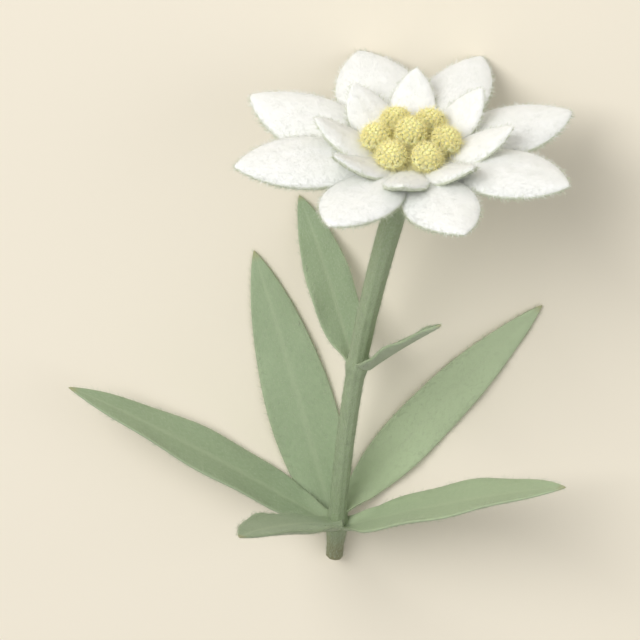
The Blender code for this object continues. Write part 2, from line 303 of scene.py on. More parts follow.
# How a fibre's length, slope, width and rise at the tip vary, how deep its root is in
# widths, and how wide it still is in the middle
FIBRE_LENGTH_DRAW = (0.6, 1.25)
FIBRE_LIFT_DRAW = (0.3, 1.4)
FIBRE_WIDTH_DRAW = (0.7, 1.2)
FIBRE_TIP_DRAW = (0.3, 1.1)
FIBRE_ROOT = 0.8
FIBRE_TAPER = 0.75

# Where wool grows. Faces that look up the bloom by more than FELT_DIVIDE have white felt; all
# other faces have felt painted greyer as shade.
FELT_DIVIDE = 0.40
MARGIN_FROM = 0.75
ROOT_SHARE = 0.1
ROOT_COVER = 0.35
LEAF_COVER = 0.8
LEAF_COVER_UNDER = 1.0
LEAF_COVER_MARGIN = 1.2
STEM_RIND = 0.97
HEAD_BODY = 0.9
CUSHION_FLATNESS = 0.7

# How far apart the shades of the wool drift
FINE_DRIFT = 0.002
BROAD_DRIFT = 0.003

# Camera: how steeply it looks down the plant, and how far it stands round to the right
LOOK_DOWN = math.radians(35)
VIEW_TURN = math.radians(4)
SENSOR = 36
CAMERA_DISTANCE = 1.1
PICTURE_WIDTH = 0.0945
CAMERA_AIM = Vector((0.0, 0.0015, 0.012))

# Stage
FLOOR_SIZE = 6.0
FLOOR_DROP = 0.00006
FLOOR_LIGHTER = 1.012
SKY_STRENGTH = 0.50
LIGHTS = (
    # name, direction, distance, size, watts, colour
    ("key", (-0.48, 0.52, 0.80), 1.40, 0.95, 13.6, (1.0, 0.995, 0.985)),
    ("fill", (0.75, 0.10, 0.65), 1.40, 1.00, 2.2, (0.96, 0.98, 1.0)),
)

# Slope of the stem that puts both the cut rim and the two lowest tips on the surface.
LOWEST = RESTING_BRACTS[0]
LOWEST_TURN, LOWEST_REACH = OUTER_BRACTS[LOWEST][:2]
LOWEST_AZIMUTH = OUTER_FIRST + OUTER_SPACING * LOWEST + math.radians(LOWEST_TURN)
LOWEST_TIP = Matrix.Rotation(BLOOM_NOD, 3, "X") @ Vector(
    (0, LOWEST_REACH * math.sin(LOWEST_AZIMUTH), OUTER_LIFT))
SLOPE = math.atan((LOWEST_TIP.y - CUT_RADIUS) / (STEM_LENGTH + LOWEST_TIP.z))

# Plant frames: x to the right, y to the back of the plant, z up it.
LEAF_FRAME = Matrix.Rotation(SLOPE - math.pi / 2, 3, "X")
STEM_FRAME = Matrix.Rotation(STEM_LEAN, 3, "Z") @ LEAF_FRAME
BLOOM_FRAME = (Matrix.Rotation(BLOOM_LEAN, 3, "Z") @ LEAF_FRAME
               @ Matrix.Rotation(BLOOM_NOD, 3, "X"))
CUT = Vector((0, 0, CUT_RADIUS * math.cos(SLOPE))) - CENTRE
BLOOM_CENTRE = CUT + STEM_FRAME @ Vector((0, 0, STEM_LENGTH))
BLOOM = Matrix.Translation(BLOOM_CENTRE) @ BLOOM_FRAME.to_4x4()
UP_BLOOM = BLOOM_FRAME @ Vector((0, 0, 1))


def paint(red, green, blue):
    """A colour as a picture shows it, 0 to 255, in the linear light that a shader takes."""
    def linear(level):
        share = level / 255
        return share / 12.92 if share <= 0.04045 else ((share + 0.055) / 1.055) ** 2.4

    return (linear(red), linear(green), linear(blue), 1)


# Colours
BRACT_WHITE = paint(252, 252, 253)
BRACT_CREAM = paint(243, 245, 241)
# Painted shade, for the bract faces that look away from the top of the bloom
BRACT_PAINTED_SHADE = paint(198, 205, 174)
# Painted yellow light, as if reflected from the heads onto the bracts' roots
BRACT_PAINTED_HEAD_LIGHT = paint(252, 248, 208)
FELT_WHITE = paint(254, 254, 255)
FELT_SHADE = paint(238, 241, 236)
# Felt painted greyer as shade, for the bract faces that look away from the top of the bloom
FELT_PAINTED_SHADE = paint(217, 222, 201)
FELT_PAINTED_SHADE_DARK = paint(198, 205, 180)
LEAF_GREEN = paint(146, 166, 132)
# Painted light: a paler green for the leaves that stand more in the light
LEAF_PAINTED_LIGHT = paint(190, 206, 168)
LEAF_DARK = paint(130, 151, 117)
LEAF_RIB = paint(180, 193, 160)
LEAF_UNDER = paint(190, 198, 174)
LEAF_TIP = paint(168, 156, 108)
LEAF_WOOL = paint(184, 197, 166)
STEM_GREEN = paint(162, 178, 145)
STEM_DARK = paint(146, 160, 125)
STEM_FOOT = paint(128, 118, 84)
STEM_PITH = paint(226, 222, 188)
STEM_VESSEL = paint(150, 158, 104)
STEM_WOOL = paint(180, 192, 162)
HEAD_FLUFF = paint(255, 248, 184)
HEAD_WOOL = paint(255, 250, 200)
HEAD_BUD = paint(255, 245, 172)
HEAD_LOBE = paint(255, 244, 168)
HEAD_DEEP = paint(255, 236, 146)
HEAD_BROWN = paint(134, 98, 54)
FLOOR_CREAM = paint(237, 229, 212)
SKY = paint(254, 253, 251)


# Materials

def add(tree, kind, inputs=(), **settings):
    """A new node with its settings, each of its inputs linked or set."""
    made = tree.nodes.new(kind)
    for key, value in settings.items():
        setattr(made, key, value)
    for key, value in dict(inputs).items():
        if isinstance(value, bpy.types.NodeSocket):
            tree.links.new(value, made.inputs[key])
        else:
            made.inputs[key].default_value = value
    return made


def maths(tree, operation, first, second=0.0):
    return add(tree, "ShaderNodeMath", {0: first, 1: second}, operation=operation).outputs[0]


def span(tree, value, low, high):
    """0 where the value is low, 1 where it is high, and smooth between."""
    settings = {"Value": value, "From Min": low, "From Max": high}
    made = add(tree, "ShaderNodeMapRange", settings, interpolation_type="SMOOTHSTEP")
    return made.outputs["Result"]


def falling(tree, value, low, high):
    """1 where the value is low, 0 where it is high, and smooth between."""
    return maths(tree, "SUBTRACT", 1.0, span(tree, value, low, high))


def mixed(tree, factor, first, second):
    made = add(tree, "ShaderNodeMix", {0: factor, 6: first, 7: second}, data_type="RGBA")
    return made.outputs[2]


def tinged(tree, colour, tinge, where, strength):
    """A colour that takes a tinge where a value is 1, as far as the strength says."""
    return mixed(tree, maths(tree, "MULTIPLY", where, strength), colour, tinge)


def cloud(tree, vector, size, detail=3.0):
    """Noise whose lumps are about size metres across, from 0 to 1."""
    settings = {"Vector": vector, "Scale": 1 / size, "Detail": detail}
    return add(tree, "ShaderNodeTexNoise", settings).outputs["Fac"]


def stretched(tree, vector, scale):
    made = add(tree, "ShaderNodeVectorMath", {0: vector, 1: scale}, operation="MULTIPLY")
    return made.outputs[0]


def object_place(tree):
    return add(tree, "ShaderNodeTexCoord").outputs["Object"]


def facing_up_bloom(tree):
    """How far the skin faces up the bloom, from -1 to 1."""
    inputs = {0: add(tree, "ShaderNodeTexCoord").outputs["Normal"], 1: UP_BLOOM}
    return add(tree, "ShaderNodeVectorMath", inputs, operation="DOT_PRODUCT").outputs["Value"]


def stored(tree, name):
    return add(tree, "ShaderNodeAttribute", attribute_name=name, attribute_type="GEOMETRY")


def new_material(name, roughness, sheen, sheen_roughness=0.5):
    material = bpy.data.materials.new(name)
    material.use_nodes = True
    shader = material.node_tree.nodes["Principled BSDF"]
    shader.inputs["Roughness"].default_value = roughness
    shader.inputs["Sheen Weight"].default_value = sheen
    shader.inputs["Sheen Roughness"].default_value = sheen_roughness
    shader.inputs["Specular IOR Level"].default_value = 0.3
    return material, material.node_tree, shader


def roughen(tree, shader, height, strength, distance):
    """Bump from a height of 0 to 1."""
    settings = {"Height": height, "Strength": strength, "Distance": distance}
    bump = add(tree, "ShaderNodeBump", settings)
    tree.links.new(bump.outputs["Normal"], shader.inputs["Normal"])


def bract_material():
    material, tree, shader = new_material("bract felt", 0.92, 0.25)
    place = add(tree, "ShaderNodeSeparateXYZ", {0: stored(tree, "place").outputs["Vector"]})
    here = object_place(tree)
    felt = mixed(tree, cloud(tree, here, 0.0016), BRACT_CREAM, BRACT_WHITE)
    # The roots take painted yellow light, as if reflected from the heads
    root = falling(tree, place.outputs["X"], 0.0, 0.30)
    # Faces that look away from the top of the bloom take painted shade
    under = falling(tree, facing_up_bloom(tree), -0.1, 0.6)
    painted_head_light = tinged(tree, felt, BRACT_PAINTED_HEAD_LIGHT, root, 0.75)
    painted_shade_colour = tinged(tree, painted_head_light, BRACT_PAINTED_SHADE, under, 0.65)
    tree.links.new(painted_shade_colour, shader.inputs["Base Color"])
    roughen(tree, shader, cloud(tree, here, 0.00022, 2.0), 0.5, 0.00003)
    return material


def felt_material(name, light, shade, size):
    """Wool fibres, whose colour drifts a little from place to place."""
    material, tree, shader = new_material(name, 0.85, 0.2)
    drift = cloud(tree, object_place(tree), size, 2.0)
    tree.links.new(mixed(tree, drift, shade, light), shader.inputs["Base Color"])
    return material


def leaf_material():
    material, tree, shader = new_material("leaf", 0.72, 0.12)
    stored_place = stored(tree, "place").outputs["Vector"]
    place = add(tree, "ShaderNodeSeparateXYZ", {0: stored_place})
    t, across, through = (place.outputs[key] for key in "XYZ")
    here = object_place(tree)
    streaks = cloud(tree, stretched(tree, stored_place, (0.030, 0.0050, 0.001)), 0.0005, 4.0)
    mottle = cloud(tree, here, 0.0034, 4.0)
    # Each leaf's tint pales its green, as painted light
    green = mixed(tree, stored(tree, "tint").outputs["Fac"],
                  mixed(tree, mottle, LEAF_DARK, LEAF_GREEN), LEAF_PAINTED_LIGHT)
    grained = tinged(tree, green, LEAF_RIB, streaks, 0.55)
    off_rib = maths(tree, "ABSOLUTE", across)
    rib = falling(tree, off_rib, 0.02, 0.16)
    ribbed = tinged(tree, grained, LEAF_RIB, rib, 0.3)
    margin = span(tree, off_rib, 0.86, 1.0)
    edged = tinged(tree, ribbed, LEAF_RIB, margin, 0.35)
    under = span(tree, maths(tree, "MULTIPLY", through, -1.0), 0.0, 0.5)
    felted = tinged(tree, edged, LEAF_UNDER, under, 0.7)
    base = falling(tree, t, 0.0, 0.14)
    paled = tinged(tree, felted, LEAF_RIB, base, 0.5)
    tip = span(tree, t, 0.955, 1.0)
    tipped = tinged(tree, paled, LEAF_TIP, tip, 0.6)
    tree.links.new(tipped, shader.inputs["Base Color"])
    roughen(tree, shader, streaks, 0.6, 0.00003)
    return material


def stem_material():
    material, tree, shader = new_material("stem", 0.78, 0.12)
    stored_place = stored(tree, "place").outputs["Vector"]
    place = add(tree, "ShaderNodeSeparateXYZ", {0: stored_place})
    along, radial = (place.outputs[key] for key in "XZ")
    streaks = cloud(tree, stretched(tree, stored_place, (0.040, 0.0050, 0.0)), 0.0006, 4.0)
    rind = mixed(tree, streaks, STEM_DARK, STEM_GREEN)
    foot = falling(tree, along, 0.01, 0.09)
    footed = tinged(tree, rind, STEM_FOOT, foot, 0.7)
    vessels = span(tree, radial, 0.55, 0.80)
    cut = mixed(tree, vessels, STEM_PITH, STEM_VESSEL)
    skin = span(tree, radial, 0.90, 0.97)
    tree.links.new(mixed(tree, skin, cut, footed), shader.inputs["Base Color"])
    roughen(tree, shader, streaks, 0.5, 0.00003)
    return material


def head_material():
    material, tree, shader = new_material("florets", 0.6, 0.15)
    tint = stored(tree, "tint").outputs["Fac"]
    stops = ((TINT_WOOL, HEAD_WOOL), (TINT_BUD, HEAD_BUD), (TINT_LOBE, HEAD_LOBE),
             (TINT_DEEP, HEAD_DEEP), (TINT_BROWN, HEAD_BROWN))
    drift = maths(tree, "SUBTRACT", cloud(tree, object_place(tree), 0.0006, 2.0), 0.5)
    shifted = maths(tree, "ADD", tint, maths(tree, "MULTIPLY", drift, 0.14))
    ramp = add(tree, "ShaderNodeValToRGB", {"Fac": shifted})
    elements = ramp.color_ramp.elements
    while len(elements) < len(stops):
        elements.new(1)
    for element, (position, colour) in zip(elements, stops):
        element.position = position
        element.color = colour
    tree.links.new(ramp.outputs["Color"], shader.inputs["Base Color"])
    shader.inputs["Subsurface Weight"].default_value = 0.6
    shader.inputs["Subsurface Radius"].default_value = (0.0008, 0.0006, 0.0003)
    shader.inputs["Subsurface Scale"].default_value = 1.0
    return material


def floor_material():
    material, tree, shader = new_material("floor", 0.9, 0.0)
    drift = cloud(tree, object_place(tree), 0.25, 2.0)
    lighter = tuple(min(1, level * FLOOR_LIGHTER) for level in FLOOR_CREAM)
    tree.links.new(mixed(tree, drift, FLOOR_CREAM, lighter), shader.inputs["Base Color"])
    return material


# Mesh helpers

def new_drawing():
    """An empty mesh under way. Each vertex keeps where it is on its blade and how that runs."""
    bm = bmesh.new()
    bm.verts.layers.float_vector.new("place")
    bm.verts.layers.float_vector.new("along")
    bm.verts.layers.float.new("tint")
    return bm


def new_piece(name, bm, material):
    mesh = bpy.data.meshes.new(name)
    bmesh.ops.recalc_face_normals(bm, faces=bm.faces)
    bm.to_mesh(mesh)
    bm.free()
    return finish_piece(name, mesh, material)


def finish_piece(name, mesh, material):
    mesh.materials.append(material)
    mesh.shade_smooth()
    piece = bpy.data.objects.new(name, mesh)
    bpy.context.scene.collection.objects.link(piece)
    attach(piece, "root")
    return piece


def skin_rings(bm, rings):
    """Join rings of vertices into a skin. A ring of one vertex is a pole."""
    for low, high in zip(rings, rings[1:]):
        count = max(len(low), len(high))
        for index in range(count):
            following = (index + 1) % count
            corners = [low[index % len(low)], low[following % len(low)],
                       high[following % len(high)], high[index % len(high)]]
            bm.faces.new(dict.fromkeys(corners))


def unit_ball(bm, sides, rings):
    """The vertices of a ball of radius 1, skinned in the same order on every run."""
    skin = [[bm.verts.new((0, 0, -1))]]
    for step in range(1, rings):
        polar = math.pi * step / rings
        ring = []
        for index in range(sides):
            angle = 2 * math.pi * index / sides
            level = (math.sin(polar) * math.cos(angle), math.sin(polar) * math.sin(angle))
            ring.append(bm.verts.new((*level, -math.cos(polar))))
        skin.append(ring)
    skin.append([bm.verts.new((0, 0, 1))])
    skin_rings(bm, skin)
    return [vert for ring in skin for vert in ring]


def lens(t, peak, sharpness):
    """How wide a blade is along its length: 0 at both ends and 1 at the peak."""
    rising = sharpness * peak / (1 - peak)
    return (t / peak) ** rising * ((1 - t) / (1 - peak)) ** sharpness


def half_width(t, width, base_width, peak, sharpness):
    return width / 2 * lens(t, peak, sharpness) + base_width / 2 * (1 - t) ** 3


def round_tip(t):
    """1 along a blade, falling to 0 in a short round end at its tip."""
    return math.sqrt(max(0, 1 - t ** TIP_ROUNDING))


def bell(distance, width):
    return math.exp(-(distance / width) ** 2)


def blade(bm, spine, half_wide, half_deep, edge_raise, relief, sides, rings):
    """Add a closed blade: a sphere drawn out along a spine, pole to pole.

    spine(t) gives a point, the side direction and the face direction; relief(t, lateral,
    through) is added to the half thickness.
    """
    place = bm.verts.layers.float_vector["place"]
    along = bm.verts.layers.float_vector["along"]
    for vert in unit_ball(bm, sides, rings):
        x, y, z = vert.co
        even = math.acos(max(-1, min(1, -z))) / math.pi
        t = (even + (1 + z) / 2) / 2
        around = math.hypot(x, y)
        at_pole = around <= POLE_RADIUS
        across = 0 if at_pole else x / around
        through = 0 if at_pole else y / around
        point, side, face = spine(t)
        wide = 0 if at_pole else half_wide(t)
        deep = 0 if at_pole else half_deep(t) + relief(t, across * wide, through)
        thickness = math.copysign(abs(through) ** SECTION_POWER, through) * deep
        vert.co = point + side * (across * wide) + face * (thickness + edge_raise(t, across, wide))
        vert[place] = (t, across, through)
        vert[along] = side.cross(face)


# Stem

def stem_axis(along):
    """A point on the stem's axis in the stem's own frame."""
    return Vector((STEM_BOW * math.sin(math.pi * along / STEM_LENGTH), 0, along))


def stem_radius(along):
    return CUT_RADIUS + (NECK_RADIUS - CUT_RADIUS) * (along / STEM_LENGTH) ** 2


def make_stem(material):
    """The stem's skin, with its ribs and swellings, and its cut face."""
    bm = new_drawing()
    place = bm.verts.layers.float_vector["place"]
    along_layer = bm.verts.layers.float_vector["along"]
    nodes = [row[5] for row in LEAVES]
    top = STEM_LENGTH - CONE_LENGTH + CLEAR
    up_stem = STEM_FRAME @ Vector((0, 0, 1))

    def ring(along, radial):
        made = []
        swell = sum(NODE_SWELL * bell(along - node, NODE_SPAN) for node in nodes)
        for index in range(STEM_SIDES):
            angle = 2 * math.pi * index / STEM_SIDES
            turned = STEM_RIBS * angle + STEM_TWIST * 2 * math.pi * along / STEM_LENGTH
            outward = Vector((math.cos(angle), math.sin(angle), 0))
            lumps = outward * STEM_LUMPS
            lumps.z = along / STEM_LUMP_LENGTH
            rough = STEM_ROUGHNESS * noise.noise(lumps)
            radius = stem_radius(along) + STEM_RIB_HEIGHT * (math.cos(turned) + rough)
            local = stem_axis(along) + outward * (radius * radial + swell)
            vert = bm.verts.new(CUT + STEM_FRAME @ local)
            vert.co.z = max(0, vert.co.z)
            vert[place] = (along / STEM_LENGTH, angle / math.pi, radial)
            vert[along_layer] = up_stem
            made.append(vert)
        return made

    def middle(along):
        vert = bm.verts.new(CUT + STEM_FRAME @ stem_axis(along))
        vert[place] = (along / STEM_LENGTH, 0, 0)
        return [vert]

    cut_rings = [ring(CUT_BEVEL * deep, out) for deep, out in CUT_RINGS]
    body = [ring(CUT_BEVEL + (top - CUT_BEVEL) * index / STEM_RINGS, 1)
            for index in range(STEM_RINGS + 1)]
    skin_rings(bm, [middle(CUT_BEVEL)] + cut_rings + body + [middle(top)])
    stem = new_piece("stem_skin", bm, material)
    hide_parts("stem")
    return stem


# Leaves

def leaf_root(azimuth, up_stem):
    """Where a leaf leaves the stem, just clear of it."""
    outward = Vector((math.cos(azimuth), math.sin(azimuth), 0))
    from_axis = stem_radius(up_stem) + CLEAR
    axis = STEM_FRAME @ stem_axis(up_stem)
    return CUT + axis + LEAF_FRAME @ outward * from_axis


def leaf_spine(azimuth, rise, length, root, roll):
    """Points and directions along a leaf that arches over and runs out along the surface."""
    up_plant = LEAF_FRAME @ Vector((0, 0, 1))
    inward = LEAF_FRAME @ Vector((-math.cos(azimuth), -math.sin(azimuth), 0))
    step = length / LEAF_STEPS
    point = root.copy()
    stations = []
    for index in range(LEAF_STEPS + 1):
        climb = rise + LEAF_ARCH * (0.5 - index / LEAF_STEPS)
        level = Vector((math.cos(azimuth), math.sin(azimuth), 0)) * math.cos(climb)
        heading = LEAF_FRAME @ (level + Vector((0, 0, math.sin(climb))))
        height = point.z - REST_HEIGHT
        steepest = -min(STEEPEST_FALL, max(0, height / SETTLE_HEIGHT))
        if heading.z < steepest:
            flat = Vector((heading.x, heading.y, 0)).normalized()
            heading = flat * math.sqrt(1 - steepest ** 2) + Vector((0, 0, steepest))
        lying = math.exp(-max(0, height) / TWIST_HEIGHT)
        upper = up_plant.lerp(Vector((0, 0, 1)), lying)
        face = (upper - heading * upper.dot(heading)).normalized()
        face = Matrix.Rotation(roll, 3, heading) @ face
        stations.append((point.copy(), face.cross(heading), face))
        point = point + heading * step

    def spine(t):
        place = t * LEAF_STEPS
        index = min(LEAF_STEPS - 1, int(place))
        share = place - index
        near, far = stations[index], stations[index + 1]
        point, side, face = (a.lerp(b, share) for a, b in zip(near, far))
        heel = max(0, 1 - t / HEEL_SHARE) ** 2
        return point + inward * (LEAF_HEEL * heel), side, face

    return spine


def leaf_half_width(t, width):
    """Half a leaf's width, drawn in to a neck near its base."""
    necked = 1 - LEAF_NECKING * math.exp(-t / LEAF_NECK)
    return half_width(t, width * necked, LEAF_BASE_WIDTH, LEAF_PEAK, LEAF_SHARPNESS)


def make_leaf(material, name, azimuth, rise, length, width, up_stem, roll):
    azimuth = math.radians(azimuth)
    root = leaf_root(azimuth, up_stem)
    spine = leaf_spine(azimuth, math.radians(rise), length, root, math.radians(roll))
    lies = spine(0.5)[0].z < 2 * REST_HEIGHT
    channel = LYING_CHANNEL if lies else LEAF_CHANNEL

    def wide(t):
        return leaf_half_width(t, width)

    def deep(t):
        return LEAF_DEPTH / 2 * (1 - LEAF_TIP_THINNING * t ** 3) * round_tip(t)

    def edge_raise(t, across, half):
        wave = LEAF_WAVE * math.sin(2 * math.pi * (LEAF_WAVES * t + azimuth + WAVE_SKEW * across))
        clasp = CLASP * max(0, 1 - t / CLASP_SHARE)
        return ((channel + clasp) * half + wave * half / (width / 2)) * across * across

    def relief(t, lateral, through):
        rib = bell(lateral, RIB_WIDTH) * (1 - t) ** RIB_FADE
        veins = math.cos(2 * math.pi * VEIN_PAIRS * lateral / width * 2) * VEIN_HEIGHT
        grain = Vector((t * length / GRAIN_LENGTH, lateral / GRAIN_WIDTH, azimuth * 9))
        rough = noise.noise(grain)
        fine = VEIN_HEIGHT * rough * (1 - t)
        if through > 0:
            return fine + veins * (1 - t) - RIB_GROOVE * rib
        return fine - veins * (1 - t) + RIB_KEEL * rib

    bm = new_drawing()
    blade(bm, spine, wide, deep, edge_raise, relief, LEAF_SIDES, LEAF_RINGS)
    tint = bm.verts.layers.float["tint"]
    for vert in bm.verts:
        vert.co.z = max(0, vert.co.z)
        # The tint carries the leaf's painted light, how far its green is paled
        vert[tint] = PAINTED_LIGHT_PALENESS.get(name, 0)
    leaf = new_piece(name + "_blade", bm, material)
    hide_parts(name)
    return leaf


# Bloom

def bract_spine(azimuth, root, reach, foot, lift, arch, roll, sway):
    outward = Vector((math.cos(azimuth), math.sin(azimuth), 0))
    level = Vector((-outward.y, outward.x, 0))

    def height(t):
        return foot + lift * t ** LIFT_CURVE + arch * math.sin(math.pi * t)

    def spine(t):
        point = outward * (root + (reach - root) * t) + Vector((0, 0, height(t)))
        before = max(0, t - SLOPE_STEP)
        after = min(1, t + SLOPE_STEP)
        climb = Vector((0, 0, height(after) - height(before)))
        along = (outward * ((reach - root) * (after - before)) + climb).normalized()
        turn = Matrix.Rotation(roll * math.sin(math.pi * t), 3, along)
        side = turn @ level
        swayed = point + side * (sway * math.sin(math.pi * t))
        return BLOOM @ swayed, BLOOM_FRAME @ side, BLOOM_FRAME @ along.cross(side)

    return spine


def bract_layouts():
    """Azimuth, reach, width, foot, lift, arch, roll, root and depth of every bract."""
    draw = random.Random(BRACT_SEED)
    layouts = []
    for index, (turned, reach, width) in enumerate(OUTER_BRACTS):
        loose = 0 if index in RESTING_BRACTS else 1
        layouts.append(dict(
            azimuth=OUTER_FIRST + index * OUTER_SPACING + math.radians(turned),
            reach=reach,
            width=width,
            foot=0,
            lift=OUTER_LIFT + loose * draw.uniform(-OUTER_LIFT_DRAW, OUTER_LIFT_DRAW),
            arch=OUTER_ARCH * draw.uniform(*OUTER_ARCH_DRAW),
            roll=math.radians(draw.uniform(-BRACT_ROLL_DRAW, BRACT_ROLL_DRAW)),
            root=OUTER_ROOT,
            depth=OUTER_DEPTH,
        ))
    for index in range(INNER_COUNT):
        azimuth = OUTER_FIRST + (index + 0.5) * 2 * math.pi / INNER_COUNT
        layouts.append(dict(
            azimuth=azimuth + math.radians(draw.uniform(-INNER_TURN_DRAW, INNER_TURN_DRAW)),
            reach=INNER_REACH * draw.uniform(*INNER_REACH_DRAW),
            width=INNER_WIDTH * draw.uniform(*INNER_WIDTH_DRAW),
            foot=INNER_FOOT,
            lift=INNER_LIFT * draw.uniform(*INNER_LIFT_DRAW),
            arch=0,
            roll=math.radians(draw.uniform(-BRACT_ROLL_DRAW, BRACT_ROLL_DRAW)),
            root=INNER_ROOT,
            depth=INNER_DEPTH,
        ))
    for layout in layouts:
        layout["sway"] = BRACT_SWAY * draw.uniform(-1, 1)
    return layouts


def draw_bract(bm, layout, number):
    """One bract. Its number in the star gives each of its faces lumps of their own."""
    reach = layout["reach"]

    def wide(t):
        return half_width(t, layout["width"], BRACT_BASE_WIDTH, BRACT_PEAK, BRACT_SHARPNESS)

    def deep(t):
        return layout["depth"] / 2 * (1 - BRACT_TIP_THINNING * t ** 4) * round_tip(t)

    def edge_raise(t, across, half):
        return -BRACT_CROWN * half * across * across

    def relief(t, lateral, through):
        fade = math.sin(math.pi * t) ** 0.5
        side_line = abs(abs(lateral) - SIDE_FURROW * layout["width"] / 2)
        furrow = bell(lateral, FURROW_WIDTH) + SIDE_FURROW_SHARE * bell(side_line, FURROW_WIDTH)
        skin = number * 7 + (5 if through > 0 else 0)
        here = Vector((t * reach / WOOL_LUMP_LENGTH, lateral / WOOL_LUMP_WIDTH, skin))
        lump = noise.fractal(here, *WOOL_LUMP_FRACTAL)
        return fade * (WOOL_LUMP * lump - (FURROW_DEPTH * furrow if through > 0 else 0))

    spine = bract_spine(layout["azimuth"], layout["root"], reach, layout["foot"],
                        layout["lift"], layout["arch"], layout["roll"], layout["sway"])
    blade(bm, spine, wide, deep, edge_raise, relief, BRACT_SIDES, BRACT_RINGS)


def draw_receptacle(bm):
    """The felted cushion that the heads sit in, and the cone under it down to the stem."""
    below = stem_axis(STEM_LENGTH - CONE_LENGTH) - Vector((0, 0, STEM_LENGTH))
    neck = BLOOM_FRAME.inverted() @ STEM_FRAME @ below
    place = bm.verts.layers.float_vector["place"]
    along = bm.verts.layers.float_vector["along"]
    profile = [(0, CUSHION_TOP)]
    for step in range(1, CUSHION_STEPS + 1):
        angle = math.pi * CUSHION_TURN * step / CUSHION_STEPS
        half_height = CUSHION_TOP if math.cos(angle) > 0 else CUSHION_HALF_HEIGHT
        profile.append((CUSHION_RADIUS * math.sin(angle), half_height * math.cos(angle)))
    low_radius, low_height = profile[-1]
    for step in range(1, CONE_STEPS + 1):
        share = step / CONE_STEPS
        eased = share ** CONE_CURVE
        profile.append((low_radius + (NECK_RADIUS * CONE_OVERLAP - low_radius) * eased,
                        low_height + (-CONE_LENGTH - low_height) * share))
    rings = []
    for radius, height in profile + [(0, -CONE_LENGTH)]:
        ring = []
        for index in range(BRACT_SIDES if radius else 1):
            angle = 2 * math.pi * index / BRACT_SIDES
            outward = Vector((math.cos(angle), math.sin(angle), 0))
            lumps = outward * RECEPTACLE_LUMPS
            lumps.z = height / WOOL_LUMP_WIDTH
            lump = WOOL_LUMP * noise.noise(lumps)
            on_cone = height < 0
            middle = neck * (-height / CONE_LENGTH) if on_cone else Vector((0, 0, height))
            vert = bm.verts.new(BLOOM @ (outward * (radius + lump) + middle))
            vert[place] = CONE_PLACE if on_cone else CUSHION_PLACE
            vert[along] = BLOOM_FRAME @ (outward - Vector((0, 0, CONE_FALL if on_cone else 0)))
            ring.append(vert)
        rings.append(ring)
    skin_rings(bm, rings)


def make_bracts(material):
    bm = new_drawing()
    draw_receptacle(bm)
    for number, layout in enumerate(bract_layouts()):
        draw_bract(bm, layout, number)
    for vert in bm.verts:
        vert.co.z = max(0, vert.co.z)
    star = new_piece("bract_star", bm, material)
    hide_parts("bracts")
    return star


# Heads, each drawn in a frame that stands on its origin

def ring_of(bm, frame_here, centre, radii, height, tint):
    """A ring of vertices round an axis, with a tint, in a floret's frame."""
    layer = bm.verts.layers.float["tint"]
    made = []
    for index, radius in enumerate(radii):
        angle = 2 * math.pi * index / len(radii)
        local = Vector((radius * math.cos(angle), radius * math.sin(angle), height))
        vert = bm.verts.new(centre + frame_here @ local)
        vert[layer] = tint
        made.append(vert)
    return made


def draw_open_floret(bm, frame_here, root, size):
    """A tube that opens in five lobes, with its style."""
    height = FLORET_HEIGHT * size
    tube = [FLORET_TUBE * size] * (FLORET_LOBES * 2)
    lobes = [FLORET_MOUTH * size, FLORET_NOTCH * size] * FLORET_LOBES
    style = [STYLE_RADIUS] * 4

    def ring(radii, share, level, tint):
        shares = [radius * share for radius in radii]
        return ring_of(bm, frame_here, root, shares, level, tint)

    skin_rings(bm, [
        ring(tube, 1, -height, TINT_WOOL),
        ring(tube, 1.1, height * 0.45, TINT_BUD),
        ring(lobes, 0.92, height * 0.86, TINT_LOBE),
        ring(lobes, 0.90, height, TINT_LOBE),
        ring(tube, 0.8, height * 0.84, TINT_DEEP),
        ring([0], 1, height * 0.66, TINT_DEEP),
    ])
    skin_rings(bm, [
        ring(style, 1, height * 0.6, TINT_LOBE),
        ring(style, 1.5, height + STYLE_HEIGHT * 0.6, TINT_DEEP),
        ring([0], 1, height + STYLE_HEIGHT * 0.8, TINT_LOBE),
    ])


def draw_bud(bm, frame_here, root, size):
    """A closed floret: a rounded five-sided bud."""
    height = FLORET_HEIGHT * size
    ridged = [BUD_RADIUS * size, BUD_RADIUS * size * 0.86] * FLORET_LOBES

    def ring(share, level, tint):
        shares = [radius * share for radius in ridged]
        return ring_of(bm, frame_here, root, shares, level, tint)

    skin_rings(bm, [
        ring(0.7, -height, TINT_WOOL),
        ring(0.9, height * 0.3, TINT_BUD),
        ring(1, height * 0.62, TINT_BUD),
        ring(0.6, height * 0.9, TINT_LOBE),
        ring_of(bm, frame_here, root, [0], height, TINT_LOBE),
    ])


def draw_head_body(bm, place_in_head, radius, height):
    """The head's own dome, which florets and scales cover."""
    tint = bm.verts.layers.float["tint"]
    place = bm.verts.layers.float_vector["place"]
    along = bm.verts.layers.float_vector["along"]
    turn = place_in_head.to_3x3()
    for vert in unit_ball(bm, HEAD_SIDES, HEAD_RINGS):
        local = Vector((vert.co.x * radius, vert.co.y * radius, (vert.co.z + 1) * height / 2))
        vert[tint] = TINT_WOOL + 0.5 * TINT_BUD * max(0, vert.co.z)
        vert[place] = HEAD_PLACE
        vert[along] = turn @ Vector((vert.co.x, vert.co.y, 1))
        vert.co = place_in_head @ local


